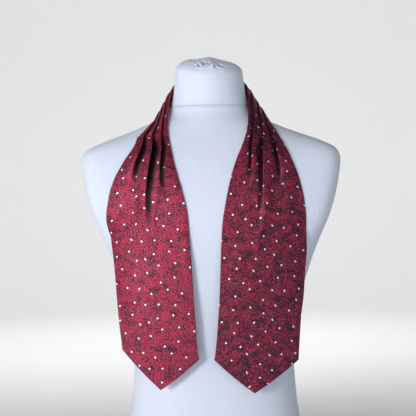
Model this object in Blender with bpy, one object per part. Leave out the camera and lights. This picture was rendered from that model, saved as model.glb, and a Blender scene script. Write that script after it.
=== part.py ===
"""Silk day cravat, untied, hung round the neck of a limbless dress form.

The tables are in millimetres and the meshes in metres, with +Z up. The front faces -Y, and +X is
on the viewer's right, which is the wearer's left. The origin is the middle of the form's flat base.

The cravat is three sewn pieces, which follow each other along one length of cloth: a pointed blade,
the neckband with its stitched knife pleats, and the other blade. A row of points lies across the
cloth from its inner edge, beside the neck, to its outer edge, and the rows run from the tip on the
wearer's right, round the back of the neck, to the tip on the wearer's left.
"""

import math

import bmesh
import bpy
import numpy as np
from mathutils.bvhtree import BVHTree

MM = 0.001

# Cloth
WALL = 2.2                  # folded silk with its interlining
SEAM_GAP = 0.35             # between two pieces where they are sewn together
REST_GAP = 0.7              # between the cloth and the form that it lies on
PLEAT_STEP = 1.6            # rise of each stitched pleat along the neckband
PLEAT_RUN = 1.6             # how far across the cloth that rise takes
FOLD_OPENING = 45.0         # length below the neckband in which a pleat opens into a full fold
FOLD_RUN = 9.0              # how far across the cloth an open fold's steep side reaches
FOLD_RUN_END = 16.0         # the same where the fold has died away
INNER_SWELL = 0.35          # height of the flat inner strip's swell, as a share of the first fold

# Rows and columns of points in the cloth
BAND_ROWS = 16              # from the centre back to one end of the neckband
BLADE_ROWS = ((0.0, 0.36, 14), (0.36, 1.0, 11))     # from share, to share of the length, rows
STRIP_COLUMNS = 4           # across one strip between two pleats
RISE_COLUMNS = 2            # up the steep side of one pleat
TIP_FROM = 0.6              # share of the blade's length where its columns begin to lead to the tip

# Level sections of the dress form, from its base to the top of its neck
FORM_NAMES = ("height", "half_width", "front", "back", "middle", "squareness")
FORM_SECTIONS = (
    (0, 161, -110, 116, 0, 2.3),
    (60, 150, -109, 110, 0, 2.3),
    (120, 142, -106, 102, 0, 2.3),
    (190, 138, -103, 95, 0, 2.3),
    (260, 147, -106, 98, 0, 2.3),
    (340, 169, -114, 109, 0, 2.35),
    (380, 183, -119, 117, 0, 2.4),
    (425, 202, -122, 124, 0, 2.4),
    (460, 213, -119, 127, 0, 2.4),
    (497, 221, -110, 128, 0, 2.35),
    (520, 224, -102, 126, 0, 2.3),
    (538, 219, -94, 121, 0, 2.2),
    (552, 196, -87, 115, 0, 2.1),
    (566, 161, -80, 107, 0, 2.0),
    (579, 128, -74, 98, 0, 1.95),
    (588, 107, -70, 90, 0, 1.9),
    (596, 90, -67, 84, 0, 1.9),
    (604, 79, -64, 77, 0, 1.95),
    (614, 71, -62, 71, -1, 2.0),
    (630, 65, -62, 64, -2, 2.0),
    (645, 62, -63, 59, -3, 2.0),
    (662, 60, -65, 55, -5, 2.0),
    (680, 58.5, -66, 52, -7, 2.0),
)
FORM_AROUND = 44
FORM_LEVELS = ((5, 480, 15), (480, 600, 11), (600, 680, 6))     # from height, to height, steps
BASE_ROUND = 5.0            # rounding of the base's edge
NECK_LEAN_FROM = 585.0      # the level above which the sections begin to lean forward
NECK_LEAN = 15.0            # degrees of lean where the cap begins
CAP_RISE = 22.0             # height of the domed cap above the neck's last section
CAP_RINGS = 5
CAP_FULLNESS = 0.7          # below 1 the dome keeps its width longer

# The surface on which the blades hang: over the chest, then straight down in front of the waist
HANG_NAMES = ("height", "half_width", "front", "squareness")
HANG_SECTIONS = (
    (100, 232, -121.5, 2.4),
    (300, 214, -122.5, 2.4),
    (430, 205, -123, 2.4),
    (460, 215, -120.5, 2.4),
    (497, 223, -111.5, 2.35),
    (520, 226, -103.5, 2.3),
    (538, 221, -95.5, 2.2),
    (552, 199, -88.5, 2.1),
    (566, 165, -81.5, 2.0),
    (579, 132, -75.5, 1.95),
)

# The two edges of each blade, as distances to its own side of the centre line
BLADE_NAMES = ("height", "inner", "outer")
RIGHT_BLADE_EDGES = (
    (195, 24.5, 149),
    (210, 27, 150),
    (255, 29.5, 155),
    (300, 32, 158.5),
    (350, 34, 162),
    (390, 36.5, 166.5),
    (430, 39, 169.5),
    (460, 45, 167.5),
    (490, 53, 159),
    (520, 61, 143),
    (545, 66, 126.5),
    (562, 69, 120),
)
LEFT_BLADE_EDGES = (
    (189, -1, 137),
    (215, 3, 139),
    (257, 7, 142.5),
    (296, 10, 148),
    (335, 12, 151.5),
    (375, 14, 155),
    (415, 17, 154),
    (455, 24, 151),
    (485, 31, 145),
    (514, 40, 135),
    (540, 51, 124),
    (550, 55, 117),
    (567, 61, 111),
)

# Heights of each blade's corners and tip, and the tip's share of the width from the inner edge
BLADE_CORNERS = {
    "wearers_right": {"seam_inner": 562, "seam_outer": 557, "low_inner": 195.5, "low_outer": 210,
                      "tip": 146, "tip_share": 0.504},
    "wearers_left": {"seam_inner": 566.5, "seam_outer": 550, "low_inner": 194, "low_outer": 189.5,
                     "tip": 138.5, "tip_share": 0.468},
}

# Each pleat's folded edge as a share of the width from the inner edge, where it has died away,
# and how high it stands where it is fullest
FOLD_NAMES = ("share_at_seam", "share_midway", "share_at_end", "end_height", "fullness")
RIGHT_FOLDS = (
    (0.26, 0.31, 0.36, 428, 7.5),
    (0.53, 0.52, 0.62, 382, 10.0),
    (0.80, 0.79, 0.80, 464, 8.5),
)
LEFT_FOLDS = (
    (0.20, 0.30, 0.34, 448, 6.0),
    (0.49, 0.48, 0.50, 390, 9.0),
    (0.76, 0.78, 0.79, 466, 8.0),
)

# The neckband's two edges, from the centre back to a little behind its end
BAND_NAMES = ("upper_x", "upper_y", "upper_z", "lower_x", "lower_y", "lower_z")
RIGHT_BAND = (
    (0, 60, 668, 0, 78, 614),
    (33, 51, 666, 48, 62, 611),
    (57, 24, 661, 80, 35, 604),
    (62.5, -4, 649, 91, 2, 597),
    (68.5, -31, 614, 96, -26, 588),
    (70, -57, 589, 106, -46, 574),
)
LEFT_BAND = (
    (0, 60, 668, 0, 78, 614),
    (33, 51, 666, 50, 62, 611),
    (58, 24, 662, 84, 35, 606),
    (64, -4, 649, 96, 2, 598),
    (65, -33, 617, 101, -27, 588),
    (64, -59, 592, 107, -49, 573),
)

# Colours, roughness and sheen of the two finishes
JERSEY_COLOUR = (0.72, 0.76, 0.84, 1.0)
JERSEY_ROUGHNESS = 0.9
SILK_COLOUR = (0.25, 0.03, 0.06, 1.0)
SILK_ROUGHNESS = 0.5


def smooth(at, places, values):
    """Read a table smoothly between its rows, with no overshoot past them."""
    places = np.asarray(places, float)
    values = np.asarray(values, float)
    at = np.clip(np.asarray(at, float), places[0], places[-1])
    steps = np.diff(places)
    slopes = np.diff(values) / steps
    tangents = np.concatenate(([slopes[0]], np.zeros(len(slopes) - 1), [slopes[-1]]))
    same_way = slopes[:-1] * slopes[1:] > 0
    before, after = slopes[:-1][same_way], slopes[1:][same_way]
    tangents[1:-1][same_way] = 2 * before * after / (before + after)
    row = np.clip(np.searchsorted(places, at, side="right") - 1, 0, len(steps) - 1)
    step = steps[row]
    t = (at - places[row]) / step
    return ((2 * t**3 - 3 * t**2 + 1) * values[row] + (t**3 - 2 * t**2 + t) * step * tangents[row]
            + (3 * t**2 - 2 * t**3) * values[row + 1] + (t**3 - t**2) * step * tangents[row + 1])


def columns(table, names, *wanted):
    """The wanted columns of a table, by their names."""
    return np.asarray(table, float)[:, [names.index(name) for name in wanted]]


def read(table, names, name, at):
    """One named column of a section table, at any height."""
    return smooth(at, *columns(table, names, "height", name).T)


def ease(share):
    """Go from 0 to 1 with a soft start and a soft end."""
    share = np.clip(share, 0.0, 1.0)
    return share * share * (3 - 2 * share)


def spread(stretches):
    """Places along a length, from rows of (from, to, steps)."""
    places = [np.linspace(start, end, steps, endpoint=False) for start, end, steps in stretches]
    return np.concatenate(places + [[stretches[-1][1]]])


def neck_lean(height):
    """Slope of a section of the neck, which rises towards the back."""
    share = np.clip((height - NECK_LEAN_FROM) / (FORM_SECTIONS[-1][0] - NECK_LEAN_FROM), 0, 1)
    return math.tan(math.radians(NECK_LEAN)) * share


def form_ring(height, width_share=1.0, lift=0.0, inset=0.0):
    """One closed ring of points round the dress form."""
    half_width, front, back, middle, squareness = (
        read(FORM_SECTIONS, FORM_NAMES, name, height) for name in FORM_NAMES[1:])
    turn = np.linspace(0, 2 * math.pi, FORM_AROUND, endpoint=False)
    across = np.sign(np.cos(turn)) * np.abs(np.cos(turn)) ** (2 / squareness)
    along = np.sign(np.sin(turn)) * np.abs(np.sin(turn)) ** (2 / squareness)
    depth = np.where(along < 0, middle - front, back - middle)
    x = (half_width * width_share - inset) * across
    y = (depth * width_share - inset) * along
    z = height + lift + y * neck_lean(height)
    return np.stack([x, y + middle, z], axis=-1)


def form_points():
    """The rings of the dress form, with the point that closes its cap."""
    rings = [form_ring(0.0, inset=BASE_ROUND)]
    rings += [form_ring(height) for height in spread(FORM_LEVELS)]
    top = FORM_SECTIONS[-1][0]
    for ring in range(1, CAP_RINGS + 1):
        turn = 0.5 * math.pi * ring / (CAP_RINGS + 1)
        rings.append(form_ring(top, width_share=math.cos(turn) ** CAP_FULLNESS,
                               lift=CAP_RISE * math.sin(turn)))
    crown = np.array([0.0, read(FORM_SECTIONS, FORM_NAMES, "middle", top), top + CAP_RISE])
    return np.array(rings), crown


def hang_surface(x, z):
    """How far forward the inside of a hanging blade lies, at a place and height."""
    half_width, front, squareness = (
        read(HANG_SECTIONS, HANG_NAMES, name, z) for name in HANG_NAMES[1:])
    share = np.clip(np.abs(x) / half_width, 0, 0.999)
    return front * (1 - share**squareness) ** (1 / squareness)


def meet_tip(across, tip_share, amount):
    """Lead the column that lies nearest to the blade's tip onto it."""
    nearest = across[np.argmin(np.abs(across - tip_share))]
    led = np.interp(across, [0, nearest, 1], [0, tip_share, 1])
    return across + (led - across) * amount


def blade_rows(side, edges, corners, shares):
    """Rows of one blade from its seam down to its point, one set of column shares for each row."""
    rows = []
    for down, across in zip(spread(BLADE_ROWS), shares):
        across = meet_tip(across, corners["tip_share"], ease((down - TIP_FROM) / (1 - TIP_FROM)))
        seam = corners["seam_inner"] + (corners["seam_outer"] - corners["seam_inner"]) * across
        low = np.interp(across, [0, corners["tip_share"], 1],
                        [corners["low_inner"], corners["tip"], corners["low_outer"]])
        z = seam + (low - seam) * down
        inner = read(edges, BLADE_NAMES, "inner", z[0])
        outer = read(edges, BLADE_NAMES, "outer", z[-1])
        x = inner + (outer - inner) * across
        rows.append(np.stack([side * x, hang_surface(x, z), z], axis=-1))
    return np.array(rows)


def band_rows(side, band, seam_row, shares):
    """Rows of half the neckband, from the centre back to its seam with the blade."""
    edges = []
    for edge, seam_end in (("upper", seam_row[0]), ("lower", seam_row[-1])):
        stations = columns(band, BAND_NAMES, edge + "_x", edge + "_y", edge + "_z") * (side, 1, 1)
        past_centre = stations[1] * (-1, 1, 1)
        edges.append(np.vstack([past_centre, stations, seam_end]))
    places = np.arange(len(edges[0])) - 1
    bow = seam_row - (seam_row[0] + (seam_row[-1] - seam_row[0]) * shares[-1][:, None])
    rows = []
    for row, along in enumerate(np.linspace(0, places[-1], BAND_ROWS + 1)):
        upper, lower = (np.array([smooth(along, places, axis) for axis in edge.T]) for edge in edges)
        near_seam = ease(along - places[-1] + 1)
        rows.append(upper + (lower - upper) * shares[row][:, None] + bow * near_seam)
    return np.array(rows)


def fold_state(folds, seam_height, height):
    """Share across the cloth, rise and steep run in millimetres of each fold, at a height."""
    state = []
    for row in folds:
        fold = dict(zip(FOLD_NAMES, row))
        down = np.clip((seam_height - height) / (seam_height - fold["end_height"]), 0, 1)
        share = (fold["share_at_seam"] * (1 - down) * (1 - 2 * down)
                 + fold["share_midway"] * 4 * down * (1 - down)
                 + fold["share_at_end"] * down * (2 * down - 1))
        opened = ease((seam_height - height) / FOLD_OPENING)
        full_rise = PLEAT_STEP + (fold["fullness"] - PLEAT_STEP) * opened
        run = PLEAT_RUN + (FOLD_RUN - PLEAT_RUN) * opened + (FOLD_RUN_END - FOLD_RUN) * ease(down)
        state.append((share, full_rise * (1 - ease(down)), run))
    return state


def across_row(state, width, softness):
    """Column shares across one row, and how far each column stands out, in millimetres."""
    shares, rises = [0.0], [0.0]
    start = 0.0
    for number, (edge, rise, run) in enumerate(state):
        valley = edge - run / width
        strip = np.arange(1, STRIP_COLUMNS + 1) / STRIP_COLUMNS
        shares += list(start + (valley - start) * strip)
        if number == 0:
            rises += list(rise * INNER_SWELL * np.sin(math.pi * strip))
        else:
            rises += list(state[number - 1][1] * falling(strip, softness))
        climb = np.arange(1, RISE_COLUMNS + 1) / RISE_COLUMNS
        shares += list(valley + (edge - valley) * climb)
        rises += list(rise * falling(1 - climb, softness))
        start = edge
    strip = np.arange(1, STRIP_COLUMNS + 2) / (STRIP_COLUMNS + 1)
    shares += list(start + (1 - start) * strip)
    rises += list(state[-1][1] * falling(strip, softness))
    return np.array(shares), np.array(rises)


def falling(share, softness):
    """A fold's side: round at its top, and at its foot sharp where pleated or soft where open."""
    crisp = np.cos(0.5 * math.pi * share)
    soft = 0.5 + 0.5 * np.cos(math.pi * share)
    return crisp + (soft - crisp) * softness


def side_rows(side, band, edges, corners, folds):
    """Base points and rises of half the cravat, from the centre back down to one tip."""
    seam_height = corners["seam_inner"]
    blade_shares, blade_rises = [], []
    for height in seam_height + (corners["tip"] - seam_height) * spread(BLADE_ROWS):
        inner, outer = (read(edges, BLADE_NAMES, edge, height) for edge in ("inner", "outer"))
        softness = ease((seam_height - height) / (2 * FOLD_OPENING))
        state = fold_state(folds, seam_height, height)
        shares, rises = across_row(state, outer - inner, softness)
        blade_shares.append(shares)
        blade_rises.append(rises)
    blade = blade_rows(side, edges, corners, blade_shares)

    sewn = np.array(fold_state(folds, seam_height, seam_height))
    even = np.array([(0.25 * number, PLEAT_STEP, PLEAT_RUN) for number in (1, 2, 3)])
    seam_width = np.linalg.norm(blade[0][-1] - blade[0][0])
    band_shares, band_rises = [], []
    for along in np.linspace(0, 1, BAND_ROWS + 1):
        shares, rises = across_row(even + (sewn - even) * along, seam_width, 0.0)
        band_shares.append(shares)
        band_rises.append(rises)
    half_band = band_rows(side, band, blade[0], band_shares)
    points = np.concatenate([half_band[:-1], blade])
    return points, np.concatenate([band_rises[:-1], blade_rises])


def surface_normals(points):
    """The way out of the cloth at every point of its rows and columns."""
    along = np.gradient(points, axis=0)
    across = np.gradient(points, axis=1)
    normals = np.cross(along, across)
    return normals / np.linalg.norm(normals, axis=-1, keepdims=True)


def settle(points, form_tree):
    """Move the cloth's inside out to the form's surface wherever it would sink into it."""
    settled = points.copy()
    for place in np.ndindex(points.shape[:2]):
        nearest, normal, _, distance = form_tree.find_nearest(points[place])
        outside = np.dot(points[place] - np.array(nearest), np.array(normal)) > 0
        if not outside or distance < REST_GAP:
            settled[place] = np.array(nearest) + REST_GAP * np.array(normal)
    return settled


def cloth_strip(form_tree):
    """The whole cravat as one length of cloth: its inside, its outside and its two seam rows."""
    right = side_rows(-1, RIGHT_BAND, RIGHT_BLADE_EDGES, BLADE_CORNERS["wearers_right"], RIGHT_FOLDS)
    left = side_rows(1, LEFT_BAND, LEFT_BLADE_EDGES, BLADE_CORNERS["wearers_left"], LEFT_FOLDS)
    base = settle(np.concatenate([right[0][::-1], left[0][1:]]), form_tree)
    rises = np.concatenate([right[1][::-1], left[1][1:]])
    out = surface_normals(base)
    inside = base + out * rises[..., None]
    outside = inside + out * WALL
    centre = len(right[0]) - 1
    return inside, outside, (centre - BAND_ROWS, centre + BAND_ROWS)


def cut(inside, outside, first, last, trim_first, trim_last):
    """The rows of one sewn piece, with its seam edges drawn back from its neighbour."""
    pieces = []
    for face in (inside, outside):
        rows = face[first:last + 1].copy()
        if trim_first:
            rows[0] += SEAM_GAP * unit(face[first + 1] - face[first])
        if trim_last:
            rows[-1] += SEAM_GAP * unit(face[last - 1] - face[last])
        pieces.append(rows)
    return pieces


def unit(vectors):
    """The same directions, each one long."""
    return vectors / np.linalg.norm(vectors, axis=-1, keepdims=True)


def new_object(name, bm, finish, parent):
    """Turn a bmesh in millimetres into a finished object in metres."""
    bmesh.ops.scale(bm, vec=(MM, MM, MM), verts=bm.verts)
    mesh = bpy.data.meshes.new(name)
    bm.to_mesh(mesh)
    bm.free()
    mesh.materials.append(finish)
    mesh.shade_smooth()
    mesh.set_sharp_from_angle(angle=math.radians(50))
    piece = bpy.data.objects.new(name, mesh)
    bpy.context.scene.collection.objects.link(piece)
    piece.parent = parent
    return piece


def cloth_wall(inside, outside):
    """A closed wall of cloth between its inside and outside points."""
    bm = bmesh.new()
    rows, columns = inside.shape[:2]
    inner = [[bm.verts.new(point) for point in row] for row in inside]
    outer = [[bm.verts.new(point) for point in row] for row in outside]
    for row in range(rows - 1):
        for col in range(columns - 1):
            corners = ((row, col), (row + 1, col), (row + 1, col + 1), (row, col + 1))
            bm.faces.new([outer[r][c] for r, c in corners])
            bm.faces.new([inner[r][c] for r, c in reversed(corners)])
    rim = [(0, col) for col in range(columns)]
    rim += [(row, columns - 1) for row in range(1, rows)]
    rim += [(rows - 1, col) for col in range(columns - 2, -1, -1)]
    rim += [(row, 0) for row in range(rows - 2, 0, -1)]
    for (r, c), (next_r, next_c) in zip(rim, rim[1:] + rim[:1]):
        bm.faces.new((outer[r][c], outer[next_r][next_c], inner[next_r][next_c], inner[r][c]))
    bmesh.ops.triangulate(bm, faces=bm.faces)
    return bm


def form_body():
    """The closed body of the dress form, flat underneath and domed on top."""
    rings, crown = form_points()
    bm = bmesh.new()
    loops = [[bm.verts.new(point) for point in ring] for ring in rings]
    top = bm.verts.new(crown)
    for lower, upper in zip(loops, loops[1:]):
        for here in range(FORM_AROUND):
            ahead = (here + 1) % FORM_AROUND
            bm.faces.new((lower[here], lower[ahead], upper[ahead], upper[here]))
    for here in range(FORM_AROUND):
        bm.faces.new((loops[-1][here], loops[-1][(here + 1) % FORM_AROUND], top))
    bm.faces.new(list(reversed(loops[0])))
    bmesh.ops.triangulate(bm, faces=bm.faces)
    return bm


def finish_material(name, colour, roughness, sheen):
    """A plain surface in one of the two finishes."""
    material = bpy.data.materials.new(name)
    material.use_nodes = True
    shader = material.node_tree.nodes["Principled BSDF"]
    shader.inputs["Base Color"].default_value = colour
    shader.inputs["Roughness"].default_value = roughness
    shader.inputs["Metallic"].default_value = 0.0
    shader.inputs["Sheen Weight"].default_value = sheen
    material.diffuse_color = colour
    return material


def build():
    """Clear the scene, then make the dress form and the three pieces of the cravat."""
    for leftover in list(bpy.data.objects):
        bpy.data.objects.remove(leftover, do_unlink=True)
    root = bpy.data.objects.new("cravat_on_form", None)
    bpy.context.scene.collection.objects.link(root)

    jersey = finish_material("jersey", JERSEY_COLOUR, JERSEY_ROUGHNESS, 0.3)
    form = form_body()
    form_tree = BVHTree.FromBMesh(form)
    new_object("dress_form", form, jersey, root)

    inside, outside, seams = cloth_strip(form_tree)
    last = len(inside) - 1
    pieces = (
        ("blade_wearers_right", 0, seams[0], False, True),
        ("neckband", seams[0], seams[1], False, False),
        ("blade_wearers_left", seams[1], last, True, False),
    )
    for name, first, end, trim_first, trim_last in pieces:
        silk = finish_material(name + "_silk", SILK_COLOUR, SILK_ROUGHNESS, 0.2)
        piece = cut(inside, outside, first, end, trim_first, trim_last)
        new_object(name, cloth_wall(*piece), silk, root)


build()
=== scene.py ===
"""Silk day cravat, untied, hung open round the neck of a jersey-covered dress form.

Places in the tables are millimetres and the finished meshes are in metres, with +Z up. The front
faces -Y, and +X is on the viewer's right, which is the wearer's left.

The cravat is one length of cloth. A row of points lies across it from its inner edge, beside the
neck, to its outer edge, and the rows follow each other from the tip on the wearer's right, round
the back of the neck, to the tip on the wearer's left. The rows are then cut into the two blades
and the neckband where these are sewn together.
"""

import math
from functools import lru_cache

import bmesh
import bpy
import numpy as np
from bpy.props import FloatProperty, FloatVectorProperty, PointerProperty
from bpy.types import Operator, Panel, PropertyGroup
from mathutils import Matrix, Vector
from mathutils.bvhtree import BVHTree


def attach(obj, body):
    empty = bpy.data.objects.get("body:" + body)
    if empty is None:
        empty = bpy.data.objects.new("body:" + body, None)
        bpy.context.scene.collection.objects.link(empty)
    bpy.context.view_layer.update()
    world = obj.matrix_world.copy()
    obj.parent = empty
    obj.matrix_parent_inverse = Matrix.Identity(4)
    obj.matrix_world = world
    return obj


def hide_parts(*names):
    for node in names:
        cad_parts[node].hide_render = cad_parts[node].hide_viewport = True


bl_info = {
    "name": "Silk cravat on a dress form",
    "version": (1, 0, 0),
    "blender": (4, 5, 0),
    "location": "3D View > Sidebar > Cravat",
    "description": "Makes an untied silk cravat, the dress form that carries it and a plain studio",
    "category": "Add Mesh",
}

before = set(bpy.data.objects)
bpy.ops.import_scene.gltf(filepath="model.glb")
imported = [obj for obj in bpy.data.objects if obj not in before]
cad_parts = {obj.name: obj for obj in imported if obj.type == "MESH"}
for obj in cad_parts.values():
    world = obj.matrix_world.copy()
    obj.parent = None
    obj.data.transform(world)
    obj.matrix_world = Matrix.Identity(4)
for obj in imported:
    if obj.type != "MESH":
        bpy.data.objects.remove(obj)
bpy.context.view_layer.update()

MM = 0.001
BODY = "root"
PHOTO_PIXELS = 416


def linear(code):
    """Turn a colour such as "#8C233C" from sRGB into the linear values that shaders take."""
    parts = [int(code[place:place + 2], 16) / 255 for place in (1, 3, 5)]
    return tuple(part / 12.92 if part <= 0.04045 else ((part + 0.055) / 1.055) ** 2.4
                 for part in parts)


class CravatCloth(PropertyGroup):
    """Sizes and colours of the cravat's cloth."""

    wall: FloatProperty(
        name="Thickness", description="Folded silk with its interlining",
        default=0.0022, min=0.001, max=0.003, unit="LENGTH")
    pleat_step: FloatProperty(
        name="Pleat step", description="How high each stitched pleat stands beside the blade's seam",
        default=0.003, min=0.001, max=0.005, unit="LENGTH")
    dot_width: FloatProperty(
        name="Dot width", description="Diameter of a woven pin dot",
        default=0.0032, min=0.001, max=0.01, unit="LENGTH")
    rose: FloatVectorProperty(
        name="Rose", description="Brightest of the mixed yarns",
        default=linear("#CC3856"), size=3, min=0, max=1, subtype="COLOR")
    burgundy: FloatVectorProperty(
        name="Burgundy", description="Main colour of the ground",
        default=linear("#802D46"), size=3, min=0, max=1, subtype="COLOR")
    charcoal: FloatVectorProperty(
        name="Charcoal", description="Darkest of the mixed yarns",
        default=linear("#2E2034"), size=3, min=0, max=1, subtype="COLOR")
    dot_colour: FloatVectorProperty(
        name="Dots", description="Colour of the woven pin dots",
        default=linear("#FFF4F2"), size=3, min=0, max=1, subtype="COLOR")


class CravatForm(PropertyGroup):
    """Sizes and colours of the dress form's jersey cover."""

    seam_depth: FloatProperty(
        name="Seam depth", description="Depth of the seam line round the neck",
        default=0.0008, min=0, max=0.003, unit="LENGTH")
    gather_depth: FloatProperty(
        name="Gather depth", description="Depth of the gathers on top of the neck",
        default=0.0044, min=0, max=0.006, unit="LENGTH")
    wale: FloatProperty(
        name="Wale spacing", description="Distance between two upright ribs of the knit",
        default=0.0014, min=0.0005, max=0.005, unit="LENGTH")
    cover: FloatVectorProperty(
        name="Cover", description="Colour of the jersey",
        default=linear("#DAE3F5"), size=3, min=0, max=1, subtype="COLOR")


class CravatStudio(PropertyGroup):
    """Camera, lights and floor."""

    distance: FloatProperty(
        name="Camera distance", description="From the camera to the form's middle",
        default=1.6, min=0.5, max=5, unit="LENGTH")
    height: FloatProperty(
        name="Camera height", description="Height of the level camera",
        default=0.44, min=0, max=2, unit="LENGTH")
    side: FloatProperty(
        name="Camera side", description="How far the camera stands to the viewer's right",
        default=-0.006, min=-1, max=1, unit="LENGTH")
    view_width: FloatProperty(
        name="View width", description="Width of the picture at the form's middle",
        default=0.728, min=0.1, max=5, unit="LENGTH")
    tilt: FloatProperty(
        name="Camera tilt", description="How far the camera leans over sideways",
        default=math.radians(1.05), subtype="ANGLE")
    key_power: FloatProperty(
        name="Key light", description="Power of the soft light on the viewer's left",
        default=93.0, min=0, unit="POWER")
    front_power: FloatProperty(
        name="Front light", description="Power of the weak light beside the camera",
        default=10.0, min=0, unit="POWER")
    side_power: FloatProperty(
        name="Side light", description="Power of the weak light from the viewer's far left",
        default=11.0, min=0, unit="POWER")
    back_wash_power: FloatProperty(
        name="Back wash", description="Power of the light on the sweep behind the form",
        default=118.0, min=0, unit="POWER")
    front_wash_power: FloatProperty(
        name="Front wash", description="Power of the light on the sweep in front of the form",
        default=82.0, min=0, unit="POWER")
    fill_strength: FloatProperty(
        name="Fill", description="Brightness of the light from all round", default=0.14, min=0)
    floor_colour: FloatVectorProperty(
        name="Floor", description="Colour of the floor and its sweep",
        default=linear("#F8F8F8"), size=3, min=0, max=1, subtype="COLOR")


# Level sections of the dress form, from its base to the top of its neck
FORM_NAMES = ("height", "half_width", "front", "back", "middle", "squareness")
FORM_SECTIONS = (
    (0, 161, -110, 116, 0, 2.3),
    (60, 150, -109, 110, 0, 2.3),
    (120, 142, -106, 102, 0, 2.3),
    (190, 138, -103, 95, 0, 2.3),
    (260, 147, -106, 98, 0, 2.3),
    (340, 169, -114, 109, 0, 2.35),
    (380, 183, -119, 117, 0, 2.4),
    (425, 202, -122, 124, 0, 2.4),
    (460, 213, -119, 127, 0, 2.4),
    (497, 221, -110, 128, 0, 2.35),
    (520, 224, -102, 126, 0, 2.3),
    (538, 219, -94, 121, 0, 2.2),
    (552, 196, -87, 115, 0, 2.1),
    (566, 161, -80, 107, 0, 2.0),
    (579, 128, -74, 98, 0, 1.95),
    (588, 107, -70, 90, 0, 1.9),
    (596, 90, -67, 84, 0, 1.9),
    (604, 79, -64, 77, 0, 1.95),
    (614, 71, -62, 71, -1, 2.0),
    (630, 65, -62, 64, -2, 2.0),
    (645, 62, -63, 59, -3, 2.0),
    (662, 60, -65, 55, -5, 2.0),
    (680, 58.5, -66, 52, -7, 2.0),
)

# How much squarer than the rest of its section the front is where it turns to the side, by height:
# the shoulders are cut flat in front and turn sharply to their ends
CORNER_NAMES = ("height", "squarer")
FRONT_CORNERS = ((320, 0), (400, 0.9), (440, 1.2), (530, 1.2), (575, 0))
CORNER_FROM, CORNER_FULL = 0.55, 0.95   # where that begins and is full, as cosines of the turn

FORM_AROUND = 240
FORM_LEVELS = ((5, 590, 98), (590, 610, 10), (610, 622, 30), (622, 680, 40))  # from, to, steps
BASE_ROUND = 5.0            # rounding of the base's edge
BASE_STEPS = 6
NECK_LEAN_FROM = 585.0      # the level above which the sections begin to lean forward
NECK_LEAN = 15.0            # degrees of lean where the cap begins
CAP_RISE = 22.0             # height of the domed cap above the neck's last section
CAP_RINGS = 64
CAP_FULLNESS = 0.7          # below 1 the dome keeps its width longer

# The seam round the neck: two lines that lie close together, at their heights on the form
NECK_SEAM = (619.0, 615.6)
NECK_SEAM_SHARES = (1.0, 0.55)      # the upper line is the deeper one
NECK_SEAM_WIDTH = 0.9
STITCH_BELOW_SEAM = 2.6

# Gathers of the cover on the cap: path from left to right as seen from the front, half width of
# the trough, depth as a share of the gather depth, and height of the lips beside it as a share
GATHER_NAMES = ("path", "width", "depth", "lips")
GATHERS = (
    (((-23, 691), (-19, 687), (-15.5, 683), (-11, 681), (-6.5, 683)), 1.5, 1.0, 0.55),
    (((-34, 688.5), (-26, 686.5), (-20.5, 683), (-15, 679.5)), 1.4, 0.5, 0.4),
    (((6.5, 685), (8.5, 682.5), (10, 680)), 1.4, 1.0, 0.5),
    (((9, 680), (18, 677.5), (26, 676.3), (34, 678)), 1.3, 0.65, 0.5),
    (((-4, 691), (-1, 687), (1, 683)), 2.2, 0.35, 0.3),
    (((14, 690), (20, 686.5), (30, 684)), 2.4, 0.3, 0.2),
    (((-12, 694), (-8, 689), (-6, 686)), 2.0, 0.4, 0.3),
)
GATHER_HOLLOW = (-10.0, 686.0, 5.0, 0.5)    # middle x and z, half width and share of the depth
GATHER_KNOT = (5.5, 679.0, 4.5, 0.55)

# How far the cap's outline lies below an even dome, by place across: it has a small peak in the
# middle and falls away to the viewer's right
CROWN_NAMES = ("place", "fall")
CROWN_FALLS = ((-60, 0), (-36, 0.4), (-22, 2.6), (-12, 1.8), (-1, 0.4), (9, 2.0), (18, 4.0), (30, 5.2),
               (45, 5.8), (60, 6.5))
CROWN_SLOPE = ((-10, 60), (0, 5.5)) # from place to place across, how much of that is one even slope
CROWN_FALL_FROM = 650.0             # the level above which the form follows that slope

# The surface on which the blades hang: over the chest, then straight down in front of the waist
HANG_NAMES = ("height", "half_width", "front", "squareness")
HANG_SECTIONS = (
    (100, 232, -121.5, 2.4),
    (300, 214, -122.5, 2.4),
    (430, 205, -123, 2.4),
    (460, 215, -120.5, 2.4),
    (497, 223, -111.5, 2.35),
    (520, 226, -103.5, 2.3),
    (538, 221, -95.5, 2.2),
    (552, 199, -88.5, 2.1),
    (566, 165, -81.5, 2.0),
    (579, 132, -75.5, 1.95),
)

# The two edges of each blade, as distances to its own side of the centre line
BLADE_NAMES = ("height", "inner", "outer")
RIGHT_BLADE_EDGES = (
    (195, 24.5, 149),
    (210, 27, 150),
    (255, 29.5, 155),
    (300, 32, 158.5),
    (350, 34, 162),
    (390, 36.5, 166.5),
    (430, 39, 169.5),
    (460, 45, 167.5),
    (490, 53, 159),
    (520, 61, 143),
    (545, 66, 126.5),
    (562, 69, 120),
)
LEFT_BLADE_EDGES = (
    (189, -1, 137),
    (215, 3, 139),
    (257, 7, 142.5),
    (296, 10, 148),
    (335, 12, 151.5),
    (375, 14, 155),
    (415, 17, 154),
    (455, 24, 151),
    (485, 31, 145),
    (514, 40, 135),
    (540, 51, 124),
    (550, 55, 117),
    (567, 61, 111),
)

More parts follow.
